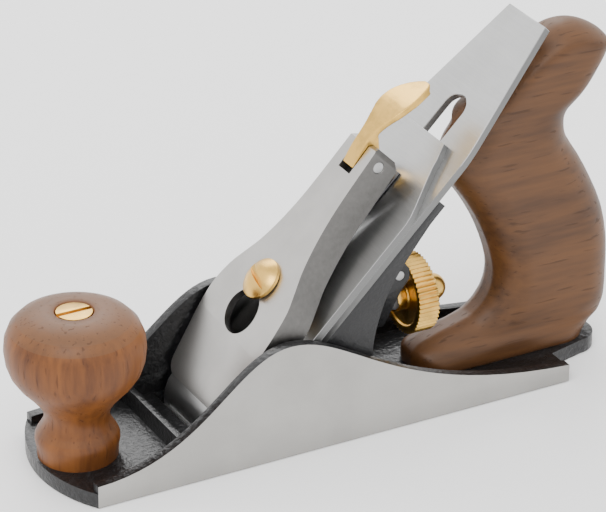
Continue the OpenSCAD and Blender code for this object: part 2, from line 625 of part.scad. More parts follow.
// Cam lever: a hub in the cap's slot, and a leaf that arches up over the blade
leaf_t = 2.8;
leaf_top = curve([[119.2, 23.2], [126, 24.9], [133, 25.8], [140, 25.9], [147, 24.9], [153, 22.9],
    [159, 19.9], [163, 17.2]], 3);
leaf_under = [for (i = [len(leaf_top) - 1 : -1 : 0]) let (u = i / (len(leaf_top) - 1))
    [leaf_top[i][0] - leaf_t * pow(u, 3) * 0.95, leaf_top[i][1] - leaf_t * (1 - 0.45 * pow(u, 4)) + (i == len(leaf_top) - 1 ? 1.4 : 0)]];
leaf_side = curve([[118, lever_w / 2], [130, lever_w / 2], [136, lever_w / 2 + 0.5], [141, 6], [145, 7.7],
    [149.5, 8.4], [154, 7.7], [158.5, 5.5], [161.8, 2.7], [163.2, 0.4]], 3);

module cam_lever() color([0.86, 0.71, 0.35])
    bed() difference() {
        union() {
            // Leaf: arched along its length, pointed oval in plan
            intersection() {
                slab(concat(leaf_top, leaf_under), 22);
                plate(mirrored(leaf_side), 0, 40);
            }
            // Cam hub with its lobe downwards
            rod_y(cam_s, cam_h, lever_w, 11);
            intersection() {
                slab([[cam_s - 4, cam_h + 3], [cam_s - 4, cam_h + 6], [cam_s + 11, cam_h + 6.6], [cam_s + 5.4, cam_h]], lever_w);
                union() {
                    rod_y(cam_s, cam_h, lever_w, 2 * cam_swing);
                    translate([cam_s, -lever_w, cam_h]) cube([20, 2 * lever_w, 20]);
                }
            }
            slab([[cam_s - 5, cam_h], [cam_s + 5.2, cam_h], [cam_s + 5, cam_h - 6], [cam_s + 3, cam_h - 11.4],
                [cam_s + 0.6, cam_h - 12.4], [cam_s - 2, cam_h - 11]], lever_w);
        }
        rod_y(cam_s, cam_h, lever_w + 2, cam_pin_d + 2 * run_fit);
    }

module cam_pin() color([0.66, 0.66, 0.66])
    bed() rod_y(cam_s, cam_h, cap_top_w - 0.2, cam_pin_d);

spring_rivet_s = 100;
spring_t = 0.8;
spring_h = 8.2;
boss_h = spring_h + 0.02;
module cap_spring() color([0.45, 0.47, 0.52])
    bed() difference() {
        slab([[95, spring_h - spring_t], [104, spring_h - spring_t], [114, 3.6], [129, 3.3], [129, 3.3 + spring_t],
            [114.4, 3.6 + spring_t], [104.4, spring_h], [95, spring_h]], 8);
        translate([spring_rivet_s, 0, 2]) cylinder(h = 9, d = 3.2);
    }
module cap_spring_rivet() color([0.7, 0.7, 0.7])
    bed() {
        translate([spring_rivet_s, 0, spring_h - spring_t - 0.05]) cylinder(h = 6.6, d = 3.1);
        translate([spring_rivet_s, 0, spring_h - spring_t - 1.05]) cylinder(h = 1, d = 5.4);
    }

// ---- Knob ---------------------------------------------------------------------------
knob_nut_r = 6.9;
knob_top = sole_t + knob_h;
foot_r = knob_foot_d / 2;
max_r = knob_d / 2;
neck_r = 12.4;
k = knob_h / 60.6;
crown_z = 46 * k;
knob_profile = concat([[0, 0], [foot_r, 0], [foot_r, 4 * k]],
    [for (p = curve([[foot_r, 4], [foot_r + 0.8, 7.4], [foot_r + 0.2, 10.2], [13.4, 13], [neck_r, 16.8], [13.8, 21.4],
        [18.6, 27.8], [max_r - 1.8, 35.8], [max_r, 46]], 4)) [p[0], p[1] * k]],
    [for (i = [1 : 9]) let (a = 90 * i / 9) [knob_nut_r + 1.4 + (max_r - knob_nut_r - 1.4) * cos(a),
        crown_z + (knob_h - crown_z) * sin(a)]], [[0, knob_h]]);

module knob() color([0.62, 0.36, 0.2])
    translate([knob_x, 0, sole_t]) difference() {
        rotate_extrude() polygon(knob_profile);
        translate([0, 0, -1]) cylinder(h = knob_h, d = rod_d + 2 * hole_gap);
        translate([0, 0, knob_h - 5]) cylinder(h = 6, r = knob_nut_r + hole_gap);
    }
module knob_rod() color([0.6, 0.6, 0.6])
    translate([knob_x, 0, 1.6]) cylinder(h = knob_top - 12.1 - 1.6, d = rod_d);
module knob_nut() color([0.83, 0.66, 0.3])
    translate([knob_x, 0, knob_top]) difference() {
        union() {
            translate([0, 0, -4.8]) cylinder(h = 4.6, r = knob_nut_r);
            translate([0, 0, -12]) cylinder(h = 8, d = rod_d);
        }
        translate([-10, -1, -1.9]) cube([20, 2, 4]);
    }

// ---- Tote ---------------------------------------------------------------------------
tote_x = heel_x - 121;
tote_base_h = 8.5;
tote_lean = 9.15;
tote_rod_x = tote_x + 104;
tote_rod_z = 118;
tote_front = curve([[38.9, 0], [38.6, 4.5], [40.4, 9], [52.9, 13.6], [66.4, 17.2], [73.8, 24.8], [75.8, 33], [74.9, 40],
    [72, 49.2], [67.5, 59.3], [61.7, 69.1], [55, 79], [52.6, 87], [55.4, 96], [63.4, 105.4], [74, 114.8], [86, 126.6],
    [98, 133.8], [104, 135.6], [110.5, 135], [117, 132.2], [122.6, 128], [124.2, 124.8]], 2);
tote_back = curve([[122.9, 121.5], [112.6, 105.6], [106.4, 99.1], [105.3, 94.9], [106.6, 87.6], [112.8, 77.8],
    [119, 66.3], [124.7, 53.3], [127.6, 39.3], [128, 25.8], [127.6, 12.6], [124.4, 7], [119.4, 3.4], [117, 0]], 2);
tote_side = [for (p = concat(tote_front, tote_back)) [tote_x + p[0], sole_t + p[1]]];

module tote_axis() {
    translate([tote_rod_x, 0, 0]) rotate([0, -tote_lean, 0]) children();
}
module tote() color([0.5, 0.29, 0.16])
    difference() {
        union() {
            slab(tote_side, tote_t);
            intersection() {
                slab(tote_side, tote_base_w);
                translate([tote_x, -tote_base_w, 0]) cube([140, 2 * tote_base_w, sole_t + tote_base_h]);
            }
        }
        tote_axis() {
            cylinder(h = 200, d = rod_d + 2 * hole_gap);
            translate([0, 0, tote_rod_z]) cylinder(h = 60, r = knob_nut_r + hole_gap);
        }
    }
module tote_rod() color([0.6, 0.6, 0.6])
    tote_axis() translate([0, 0, 2.2]) cylinder(h = tote_rod_z + 1.2, d = rod_d);
module tote_nut() color([0.83, 0.66, 0.3])
    tote_axis() translate([0, 0, tote_rod_z + 1.2]) difference() {
        cylinder(h = 5.6, r = knob_nut_r);
        translate([-10, -1, 3.8]) cube([20, 2, 4]);
        translate([0, 0, -1]) cylinder(h = 4.4, d = rod_d + 0.1);
    }
module tote_washer() color([0.7, 0.68, 0.6])
    tote_axis() translate([0, 0, tote_rod_z + 0.1]) difference() {
        cylinder(h = 1, r = knob_nut_r);
        translate([0, 0, -1]) cylinder(h = 3, d = rod_d + 0.2);
    }

body_casting();
frog();
frog_screws();
frog_screw_washers();
frog_adjusting_screw();
frog_adjusting_plate();
plate_screw();
depth_stud();
depth_collar();
depth_wheel();
yoke();
yoke_pin();
lateral_lever();
lateral_pivot_rivet();
lateral_roller();
blade();
chip_breaker();
breaker_screw();
lever_cap();
cam_lever();
cam_pin();
cap_spring();
cap_spring_rivet();
lever_cap_screw();
knob();
knob_rod();
knob_nut();
tote();
tote_rod();
tote_nut();
tote_washer();
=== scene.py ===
"""Bench smoothing plane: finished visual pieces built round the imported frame."""

import math

import bmesh
import bpy
from mathutils import Matrix, Vector
from mathutils.bvhtree import BVHTree
from mathutils.geometry import intersect_point_line


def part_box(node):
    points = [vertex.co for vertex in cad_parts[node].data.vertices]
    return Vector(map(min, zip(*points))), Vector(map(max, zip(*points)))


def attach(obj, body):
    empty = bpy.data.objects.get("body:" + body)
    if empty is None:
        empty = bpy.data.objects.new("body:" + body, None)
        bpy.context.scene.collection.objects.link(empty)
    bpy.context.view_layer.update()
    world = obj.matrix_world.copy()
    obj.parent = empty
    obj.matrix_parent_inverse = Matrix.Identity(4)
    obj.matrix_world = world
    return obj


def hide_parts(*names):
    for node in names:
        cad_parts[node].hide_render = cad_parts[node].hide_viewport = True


bl_info = {
    "name": "Bench Smoothing Plane",
    "version": (1, 0, 0),
    "blender": (4, 5, 0),
    "location": "View3D > Sidebar > Plane",
    "description": "Builds a metal smoothing plane with wooden handles round its packed frame",
    "category": "Object",
}

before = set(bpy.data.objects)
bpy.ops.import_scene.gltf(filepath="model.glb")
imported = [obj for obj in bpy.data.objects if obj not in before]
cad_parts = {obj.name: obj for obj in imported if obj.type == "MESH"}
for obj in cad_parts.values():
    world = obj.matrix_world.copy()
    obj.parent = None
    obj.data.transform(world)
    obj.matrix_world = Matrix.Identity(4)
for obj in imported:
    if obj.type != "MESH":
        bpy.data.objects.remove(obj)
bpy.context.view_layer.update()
MM = 0.001

# The bed that the blade lies on, measured from the sole
BED_ANGLE = math.radians(45)

# Edge roundings that are not the maker's to change
FROG_EDGE = 0.4 * MM
WHEEL_EDGE = 0.25 * MM

# Depths of the surface patterns
GRINDING_DEPTH = 0.012 * MM
CAST_DEPTH = 0.12 * MM
CASTING_SKIN_DEPTH = 0.4 * MM
FROG_PEEL = 0.25 * MM
PORE_DEPTH = 0.04 * MM

# The cheeks' ground faces stand further out than this
CHEEK_Y = 31.0 * MM

TURNED_STEEL = (0.42, 0.42, 0.42)
DULL_STEEL = (0.14, 0.14, 0.145)
# Paler colour for the painted highlight on wood where it faces up
LIT_CROWN = (0.13, 0.062, 0.028)


# ---- Sizes and colours ------------------------------------------------------------

class PlaneSizes(bpy.types.PropertyGroup):
    """Edge and surface sizes of the finished pieces"""

    cast_edge: bpy.props.FloatProperty(
        name="Casting edge", description="Rounding along the edges of the body casting",
        default=0.5 * MM, min=0.0, max=1.5 * MM, subtype="DISTANCE", unit="LENGTH", precision=5)
    cap_edge: bpy.props.FloatProperty(
        name="Lever cap edge", description="Rounding along the edges of the lever cap",
        default=0.9 * MM, min=0.0, max=1.5 * MM, subtype="DISTANCE", unit="LENGTH", precision=5)
    iron_edge: bpy.props.FloatProperty(
        name="Blade edge", description="Small chamfer along the edges of the blade and chip breaker",
        default=0.22 * MM, min=0.0, max=0.6 * MM, subtype="DISTANCE", unit="LENGTH", precision=5)
    small_edge: bpy.props.FloatProperty(
        name="Small part edge", description="Rounding on screws, nuts, pins and washers",
        default=0.2 * MM, min=0.0, max=0.5 * MM, subtype="DISTANCE", unit="LENGTH", precision=5)
    tote_round: bpy.props.IntProperty(
        name="Tote rounding", description="Passes of sanding that round the tote's grip",
        default=12, min=0, max=60)
    knob_turns: bpy.props.IntProperty(
        name="Knob steps", description="Steps round the turned knob",
        default=96, min=24, max=160)


class PlaneColours(bpy.types.PropertyGroup):
    """Colours of the plane's finishes"""

    ground: bpy.props.FloatVectorProperty(
        name="Ground iron", description="Ground sides and sole of the body casting",
        default=(0.42, 0.41, 0.39), size=3, min=0, max=1, subtype="COLOR")
    paint: bpy.props.FloatVectorProperty(
        name="Black paint", description="Baked paint inside the body and on the frog",
        default=(0.006, 0.006, 0.0065), size=3, min=0, max=1, subtype="COLOR")
    cap: bpy.props.FloatVectorProperty(
        name="Lever cap", description="Satin plated lever cap",
        default=(0.52, 0.505, 0.485), size=3, min=0, max=1, subtype="COLOR")
    blade: bpy.props.FloatVectorProperty(
        name="Blade steel", description="Finely ground blade and chip breaker",
        default=(0.58, 0.58, 0.575), size=3, min=0, max=1, subtype="COLOR")
    brass: bpy.props.FloatVectorProperty(
        name="Brass", description="Turned and cast brass fittings",
        default=(0.78, 0.48, 0.12), size=3, min=0, max=1, subtype="COLOR")
    knob_dark: bpy.props.FloatVectorProperty(
        name="Knob grain", description="Dark grain of the knob",
        default=(0.042, 0.012, 0.004), size=3, min=0, max=1, subtype="COLOR")
    knob_light: bpy.props.FloatVectorProperty(
        name="Knob wood", description="Ground colour of the knob",
        default=(0.190, 0.064, 0.013), size=3, min=0, max=1, subtype="COLOR")
    tote_dark: bpy.props.FloatVectorProperty(
        name="Tote grain", description="Dark grain of the tote",
        default=(0.030, 0.012, 0.005), size=3, min=0, max=1, subtype="COLOR")
    tote_light: bpy.props.FloatVectorProperty(
        name="Tote wood", description="Ground colour of the tote",
        default=(0.110, 0.045, 0.013), size=3, min=0, max=1, subtype="COLOR")


# ---- Shader maths -----------------------------------------------------------------

class Value:
    """A number that varies over a surface; expressions on it add their Math nodes"""

    def __init__(self, shader, socket):
        self.shader = shader
        self.socket = socket

    def _math(self, operation, *values):
        node = self.shader.node("ShaderNodeMath", {"operation": operation}, dict(enumerate(values)))
        return Value(self.shader, node.outputs[0])

    def __add__(self, other):
        return self._math("ADD", self, other)

    def __radd__(self, other):
        return self._math("ADD", other, self)

    def __sub__(self, other):
        return self._math("SUBTRACT", self, other)

    def __rsub__(self, other):
        return self._math("SUBTRACT", other, self)

    def __mul__(self, other):
        return self._math("MULTIPLY", self, other)

    def __rmul__(self, other):
        return self._math("MULTIPLY", other, self)

    def __gt__(self, other):
        return self._math("GREATER_THAN", self, other)

    def size(self):
        return self._math("ABSOLUTE", self)

    def either(self, other):
        return self._math("MAXIMUM", self, other)


class Finish:
    """A material under construction, with one method that adds any node"""

    def __init__(self, name):
        self.material = bpy.data.materials.new(name)
        self.material.use_nodes = True
        self.tree = self.material.node_tree
        self.tree.nodes.clear()
        self.shader = self.node("ShaderNodeBsdfPrincipled")
        self.node("ShaderNodeOutputMaterial", {}, {"Surface": self.shader.outputs[0]})
        self.place = self.node("ShaderNodeTexCoord").outputs["Object"]

    def node(self, kind, settings=None, inputs=None):
        made = self.tree.nodes.new(kind)
        for key, value in (settings or {}).items():
            setattr(made, key, value)
        for key, value in (inputs or {}).items():
            self.feed(made.inputs[key], value)
        return made

    def feed(self, socket, value):
        if isinstance(value, Value):
            value = value.socket
        if isinstance(value, bpy.types.NodeSocket):
            self.tree.links.new(value, socket)
        elif isinstance(value, (tuple, list)) and socket.type == "RGBA" and len(value) == 3:
            socket.default_value = tuple(value) + (1.0,)
        else:
            socket.default_value = value

    def set(self, **inputs):
        for key, value in inputs.items():
            self.feed(self.shader.inputs[key.replace("_", " ")], value)

    def noise(self, scale, stretch=(1, 1, 1), turn=(0, 0, 0), detail=3.0, shift=(0, 0, 0), twist=0.0):
        mapped = self.node("ShaderNodeMapping", {}, {
            "Vector": self.place, "Scale": stretch, "Rotation": turn, "Location": shift})
        made = self.node("ShaderNodeTexNoise", {}, {
            "Vector": mapped.outputs[0], "Scale": scale, "Detail": detail, "Roughness": 0.55,
            "Distortion": twist})
        return Value(self, made.outputs[0])

    def axes(self, vector=None):
        split = self.node("ShaderNodeSeparateXYZ", {}, {0: vector or self.place})
        return [Value(self, output) for output in split.outputs]

    def facing(self):
        return self.axes(self.node("ShaderNodeNewGeometry").outputs["True Normal"])

    def step(self, value, low, high):
        made = self.node("ShaderNodeMapRange", {"interpolation_type": "SMOOTHSTEP"}, {
            "Value": value, "From Min": low, "From Max": high})
        return Value(self, made.outputs[0])

    def blend(self, factor, first, second):
        made = self.node("ShaderNodeMix", {"data_type": "RGBA"}, {0: factor, 6: first, 7: second})
        return made.outputs[2]

    def bump(self, height, distance):
        made = self.node("ShaderNodeBump", {}, {"Height": height, "Distance": distance, "Strength": 1.0})
        return made.outputs[0]


def shade(colour, factor):
    return tuple(min(1.0, part * factor) for part in colour)


def ground_steel(name, colour, rough):
    """Steel with fine grinding lines and faint staining"""
    finish = Finish(name)
    lines = finish.noise(1600, detail=2)
    cloud = finish.noise(55, detail=4)
    stain = finish.step(cloud * 0.7 + lines * 0.3, 0.35, 0.68)
    finish.set(
        Base_Color=finish.blend(stain, shade(colour, 0.86), colour),
        Metallic=1.0,
        Roughness=rough - 0.05 + 0.1 * lines + 0.06 * cloud,
        Normal=finish.bump(lines, GRINDING_DEPTH))
    return finish.material


def blade_plate(name, colour):
    """Blade steel: finely ground flat faces with lines across them, duller sheared edges"""
    finish = Finish(name)
    edge = finish.step(finish.facing()[1].size(), 0.5, 0.85)
    lines = finish.noise(1700, (1, 0.04, 1), (0, BED_ANGLE, 0), detail=2)
    cloud = finish.noise(30, detail=4)
    stain = finish.step(cloud * 0.7 + lines * 0.3, 0.35, 0.65)
    face = finish.blend(stain, shade(colour, 0.88), colour)
    finish.set(
        Base_Color=finish.blend(edge, face, shade(colour, 0.34)),
        Metallic=1.0,
        Roughness=0.24 + 0.12 * lines + 0.06 * cloud + 0.14 * edge,
        Normal=finish.bump(lines, GRINDING_DEPTH))
    return finish.material


def cap_plate(name, colour):
    """Lever cap: ground face on top, duller cast sides"""
    finish = Finish(name)
    nx, _, nz = finish.facing()
    top = finish.step((nz - nx) * math.sin(BED_ANGLE), 0.55, 0.8)
    lines = finish.noise(1500, (0.5, 1, 1), (0, BED_ANGLE, 0), detail=2)
    cloud = finish.noise(48, detail=4)
    cast = finish.noise(420, detail=3)
    side = finish.blend(cast, shade(colour, 0.22), shade(colour, 0.36))
    face = finish.blend(finish.step(cloud, 0.35, 0.65), shade(colour, 0.9), colour)
    finish.set(
        Base_Color=finish.blend(top, side, face),
        Metallic=1.0,
        Roughness=top * (0.3 + 0.12 * lines) + (1 - top) * (0.38 + 0.14 * cast),
        Normal=finish.bump(top * lines * 0.1 + (1 - top) * cast, CAST_DEPTH))
    return finish.material


def painted_iron(name, colour):
    """Thick black paint with an orange-peel skin"""
    finish = Finish(name)
    skin = finish.noise(520, detail=2, twist=0.3)
    broad = finish.noise(150, detail=2)
    finish.set(
        Base_Color=finish.blend(broad, colour, shade(colour, 2.2)),
        Roughness=0.26 + 0.16 * skin,
        Specular_IOR_Level=0.35,
        Coat_Weight=0.12,
        Coat_Roughness=0.15,
        Normal=finish.bump(skin + 0.5 * broad, FROG_PEEL))
    return finish.material


def body_iron(name, ground, paint):
    """Ground bright on the sides and the sole, baked black paint everywhere else"""
    finish = Finish(name)
    y = finish.axes()[1]
    _, ny, nz = finish.facing()
    skin = finish.noise(520, detail=2, twist=0.3)
    lines = finish.noise(1300, (0.03, 1, 1), detail=2)
    cloud = finish.noise(38, detail=4)
    stain = finish.noise(9, detail=5)
    side = (ny.size() > 0.55) * (y.size() > CHEEK_Y)
    sole = (0 - nz) > 0.6
    bare = side.either(sole)
    tint = finish.step(cloud * 0.6 + stain * 0.4, 0.36, 0.66)
    metal = finish.blend(tint, shade(ground, 0.88), ground)
    black = finish.blend(finish.step(skin, 0.5, 0.75), paint, shade(paint, 3.0))
    finish.set(
        Base_Color=finish.blend(bare, black, metal),
        Metallic=bare,
        Roughness=bare * (0.36 + 0.1 * lines) + (1 - bare) * (0.22 + 0.2 * skin),
        Normal=finish.bump(bare * lines * 0.02 + (1 - bare) * skin, CASTING_SKIN_DEPTH))
    return finish.material


def brass_metal(name, colour):
    """Brass with faint turning marks and darker tarnish"""
    finish = Finish(name)
    cloud = finish.noise(140, detail=4)
    fine = finish.noise(2200, detail=2)
    finish.set(
        Base_Color=finish.blend(finish.step(cloud, 0.3, 0.62), shade(colour, 0.72), colour),
        Metallic=1.0,
        Roughness=0.2 + 0.12 * fine + 0.08 * cloud,
        Normal=finish.bump(fine, GRINDING_DEPTH))
    return finish.material


def oiled_wood(name, dark, light, along, turn, crown):
    """Close-grained wood: broad figure, fine dark fibres, and a painted highlight that makes it paler
    where it faces up
    """
    finish = Finish(name)
    figure = finish.noise(30, along, turn, detail=4, twist=0.6)
    fibre = finish.noise(330, along, turn, detail=3)
    pores = finish.noise(700, along, turn, detail=1, shift=(0.3, 0.1, 0))
    tone = finish.step(figure * 0.72 + fibre * 0.28, 0.30, 0.66)
    open_pore = finish.step(pores, 0.62, 0.74)
    wood = finish.blend(tone, dark, light)
    # Painted highlight: faces that turn upwards are blended towards a paler colour, as if lit from above
    lit_top = finish.step(finish.facing()[2], 0.35, 0.95) * crown
    wood = finish.blend(lit_top, wood, LIT_CROWN)
    finish.set(
        Base_Color=finish.blend(open_pore * 0.4, wood, shade(dark, 0.6)),
        Roughness=0.4 + 0.1 * fibre + 0.15 * open_pore,
        Specular_IOR_Level=0.3,
        Coat_Weight=0.03,
        Coat_Roughness=0.22,
        Normal=finish.bump(fibre * 0.3 - open_pore, PORE_DEPTH))
    return finish.material


FINISHES = {}


def make_finishes():
    """Makes each material once, under the name of its slot"""
    c = bpy.context.scene.plane_colours
    FINISHES["painted_iron"] = body_iron("Body iron", tuple(c.ground), tuple(c.paint))
    FINISHES["frog_iron"] = painted_iron("Frog paint", tuple(c.paint))
    FINISHES["cap_iron"] = cap_plate("Lever cap plate", tuple(c.cap))
    FINISHES["blade_steel"] = blade_plate("Ground blade", tuple(c.blade))
    FINISHES["steel"] = ground_steel("Turned steel", TURNED_STEEL, 0.32)
    FINISHES["dark_steel"] = ground_steel("Dull steel", DULL_STEEL, 0.42)
    FINISHES["brass"] = brass_metal("Brass", tuple(c.brass))
    # The last number given to each wood is the strength of its painted highlight on upward faces
    FINISHES["knob_wood"] = oiled_wood(
        "Knob wood", tuple(c.knob_dark), tuple(c.knob_light), (1, 1, 0.09), (0.06, 0.04, 0), 0.75)
    FINISHES["tote_wood"] = oiled_wood(
        "Tote wood", tuple(c.tote_dark), tuple(c.tote_light), (0.1, 1, 1), (0, math.radians(14), 0), 0.4)


# ---- Working on a piece -----------------------------------------------------------

def pick_only(piece):
    """Deselects everything and makes piece the one selected, active object"""
    bpy.ops.object.select_all(action="DESELECT")
    piece.select_set(True)
    bpy.context.view_layer.objects.active = piece


def copy_of(node, name):
    """A merged copy of a CAD node's mesh, ready to be worked on"""
    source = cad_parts[node]
    mesh = source.data.copy()
    mesh.transform(source.matrix_world)
    piece = bpy.data.objects.new(name, mesh)
    bpy.context.scene.collection.objects.link(piece)
    mesh.materials.clear()
    pick_only(piece)
    bpy.ops.object.mode_set(mode="EDIT")
    bpy.ops.mesh.select_all(action="SELECT")
    bpy.ops.mesh.remove_doubles(threshold=1e-6)
    bpy.ops.object.mode_set(mode="OBJECT")
    return piece


def apply(piece, kind, **settings):
    """Adds a modifier with those settings and applies it"""
    pick_only(piece)
    modifier = piece.modifiers.new(kind.title(), kind)
    for key, value in settings.items():
        setattr(modifier, key, value)
    bpy.ops.object.modifier_apply(modifier=modifier.name)


def soften(piece, width, segments, angle):
    """Dissolves flat facets, rounds the sharp edges and shades by angle"""
    pick_only(piece)
    bpy.ops.object.mode_set(mode="EDIT")
    bpy.ops.mesh.select_all(action="SELECT")
    bpy.ops.mesh.dissolve_limited(angle_limit=math.radians(0.4))
    bpy.ops.object.mode_set(mode="OBJECT")
    if width > 0:
        apply(piece, "BEVEL", width=width, segments=segments, limit_method="ANGLE",
              angle_limit=math.radians(angle), use_clamp_overlap=True)
    pick_only(piece)
    bpy.ops.object.shade_smooth_by_angle(angle=math.radians(35))


def sand(piece, voxel, passes):
    """Remeshes a piece evenly and smooths it all over"""
    apply(piece, "REMESH", mode="VOXEL", voxel_size=voxel, use_smooth_shade=True)
    apply(piece, "SMOOTH", factor=0.5, iterations=passes)
    pick_only(piece)
    bpy.ops.object.shade_smooth()


def finish_piece(piece, body, slot, *nodes):
    """Gives a piece its finish and its body, and hides the CAD nodes it stands for"""
    piece.data.materials.clear()
    piece.data.materials.append(FINISHES[slot])
    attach(piece, body)
    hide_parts(*nodes)


def worked_copy(node, name, body, slot, width, segments=2, angle=32):
    """A CAD node's shape with softened edges and its finish, standing for that node"""
    piece = copy_of(node, name)
    soften(piece, width, segments, angle)
    finish_piece(piece, body, slot, node)


# ---- Pieces -----------------------------------------------------------------------

class PLANE_OT_casting(bpy.types.Operator):
    """Build the body casting with its painted inside and ground outside"""

    bl_idname = "plane.casting"
    bl_label = "Body Casting"

    def execute(self, context):
        sizes = context.scene.plane_sizes
        worked_copy("body_casting", "body_casting_finished", "body", "painted_iron", sizes.cast_edge)
        return {"FINISHED"}


class PLANE_OT_frog(bpy.types.Operator):
    """Build the frog and the screws that hold and adjust it"""

    bl_idname = "plane.frog"
    bl_label = "Frog"

    def execute(self, context):
        sizes = context.scene.plane_sizes
        worked_copy("frog", "frog_finished", "frog", "frog_iron", FROG_EDGE)
        worked_copy("frog_screws", "frog_screws_finished", "body", "steel", sizes.small_edge)
        worked_copy("frog_screw_washers", "frog_washers_finished", "body", "steel", sizes.small_edge)
        worked_copy("frog_adjusting_screw", "frog_adjuster_finished", "frog_adjuster", "steel",
                    sizes.small_edge)
        worked_copy("frog_adjusting_plate", "frog_plate_finished", "frog", "steel", sizes.small_edge)
        worked_copy("plate_screw", "plate_screw_finished", "frog", "steel", sizes.small_edge)
        return {"FINISHED"}


class PLANE_OT_depth(bpy.types.Operator):
    """Build the depth wheel, its collar and stud, and the yoke"""

    bl_idname = "plane.depth"
    bl_label = "Depth Adjuster"

    def execute(self, context):
        sizes = context.scene.plane_sizes
        worked_copy("depth_wheel", "depth_wheel_finished", "wheel", "brass", WHEEL_EDGE, angle=28)
        worked_copy("depth_collar", "depth_collar_finished", "collar", "brass", sizes.small_edge)
        worked_copy("depth_stud", "depth_stud_finished", "frog", "steel", sizes.small_edge)
        worked_copy("yoke", "yoke_finished", "yoke", "dark_steel", sizes.small_edge)
        worked_copy("yoke_pin", "yoke_pin_finished", "frog", "steel", sizes.small_edge)
        return {"FINISHED"}


class PLANE_OT_iron(bpy.types.Operator):
    """Build the blade, the chip breaker and the screw between them"""

    bl_idname = "plane.iron"
    bl_label = "Blade and Chip Breaker"

    def execute(self, context):
        sizes = context.scene.plane_sizes
        worked_copy("blade", "blade_finished", "iron", "blade_steel", sizes.iron_edge, 1)
        worked_copy("chip_breaker", "chip_breaker_finished", "iron", "blade_steel", sizes.iron_edge, 1)
        worked_copy("breaker_screw", "breaker_screw_finished", "iron", "dark_steel", sizes.small_edge)
        return {"FINISHED"}


class PLANE_OT_lateral(bpy.types.Operator):
    """Build the lateral lever, its rivet and its roller"""

    bl_idname = "plane.lateral"
    bl_label = "Lateral Lever"

    def execute(self, context):
        sizes = context.scene.plane_sizes
        worked_copy("lateral_lever", "lateral_lever_finished", "lateral", "steel", sizes.small_edge)
        worked_copy("lateral_roller", "lateral_roller_finished", "lateral", "steel", sizes.small_edge)
        worked_copy("lateral_pivot_rivet", "lateral_rivet_finished", "frog", "steel", sizes.small_edge)
        return {"FINISHED"}


LEVER_VOXEL = 0.3 * MM
LEVER_PASSES = 14


class PLANE_OT_cap(bpy.types.Operator):
    """Build the lever cap with its spring, pin, cam lever and screw"""

    bl_idname = "plane.cap"
    bl_label = "Lever Cap"

    def execute(self, context):
        sizes = context.scene.plane_sizes
        worked_copy("lever_cap", "lever_cap_finished", "cap", "cap_iron", sizes.cap_edge, 3, 30)
        worked_copy("cap_spring", "cap_spring_finished", "cap", "dark_steel", sizes.small_edge)
        worked_copy("cap_spring_rivet", "cap_spring_rivet_finished", "cap", "steel", sizes.small_edge)
        worked_copy("cam_pin", "cam_pin_finished", "cap", "steel", sizes.small_edge)
        worked_copy("lever_cap_screw", "lever_cap_screw_finished", "frog", "brass", sizes.small_edge)
        lever = copy_of("cam_lever", "cam_lever_finished")
        sand(lever, LEVER_VOXEL, LEVER_PASSES)
        finish_piece(lever, "cam", "brass", "cam_lever")
        return {"FINISHED"}


# Radius and height of the turned outline in mm, from the foot up over the crown
KNOB_OUTLINE = (
    (15.4, 0.0), (15.6, 4.0), (16.2, 6.8), (16.1, 8.6), (15.4, 10.2), (14.0, 12.4), (12.7, 15.0),
    (12.4, 17.2), (13.0, 20.0), (15.2, 23.5), (18.4, 27.5), (22.0, 31.5), (24.7, 35.6), (26.2, 40.0),
    (26.8, 45.0), (26.4, 49.5), (24.7, 53.8), (21.6, 57.0), (17.0, 59.2), (12.0, 60.3), (7.8, 60.5))
BORE_GAP = 0.3 * MM
NUT_SEAT_DEEP = 5 * MM
NUT_SEAT_LIP = 0.7 * MM


class PLANE_OT_knob(bpy.types.Operator):
    """Turn the front knob round its rod and sink its nut in the top"""

    bl_idname = "plane.knob"
    bl_label = "Front Knob"

    def execute(self, context):
        sizes = context.scene.plane_sizes
        low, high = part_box("knob")
        rod_low, rod_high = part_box("knob_rod")
        nut_low, nut_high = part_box("knob_nut")
        middle = Vector(((low[0] + high[0]) / 2, 0, low[2]))
        bore = (rod_high[0] - rod_low[0]) / 2 + BORE_GAP
        seat = (nut_high[0] - nut_low[0]) / 2 + BORE_GAP
        tall = high[2] - low[2]
        rise = tall / KNOB_OUTLINE[-1][1]
        outline = [(bore, 0.0)] + [(r * MM, z * rise) for r, z in KNOB_OUTLINE]
        outline += [(seat + 0.4 * MM, tall - 0.2 * MM), (seat, tall - NUT_SEAT_LIP),
                    (seat, tall - NUT_SEAT_DEEP), (bore, tall - NUT_SEAT_DEEP)]
        bpy.ops.object.select_all(action="DESELECT")
        bpy.ops.mesh.primitive_plane_add(size=1 * MM)
        piece = context.object
        piece.name = "knob_turned"
        piece.matrix_world = Matrix()
        bpy.ops.object.mode_set(mode="EDIT")
        bpy.ops.mesh.select_all(action="SELECT")
        bpy.ops.mesh.delete(type="VERT")
        mesh = bmesh.from_edit_mesh(piece.data)
        points = [mesh.verts.new(middle + Vector((r, 0, z))) for r, z in outline]
        for first, second in zip(points, points[1:] + points[:1]):
            mesh.edges.new((first, second))
        bmesh.update_edit_mesh(piece.data)
        bpy.ops.mesh.select_all(action="SELECT")
        bpy.ops.mesh.spin(steps=sizes.knob_turns, angle=math.tau, center=middle, axis=(0, 0, 1))
        bpy.ops.mesh.select_all(action="SELECT")
        bpy.ops.mesh.remove_doubles(threshold=1e-6)
        bpy.ops.mesh.normals_make_consistent(inside=False)
        bpy.ops.object.mode_set(mode="OBJECT")
        pick_only(piece)
        bpy.ops.object.shade_smooth_by_angle(angle=math.radians(50))
        finish_piece(piece, "body", "knob_wood", "knob")
        worked_copy("knob_rod", "knob_rod_finished", "body", "steel", sizes.small_edge)
        worked_copy("knob_nut", "knob_nut_finished", "body", "brass", sizes.small_edge)
        return {"FINISHED"}


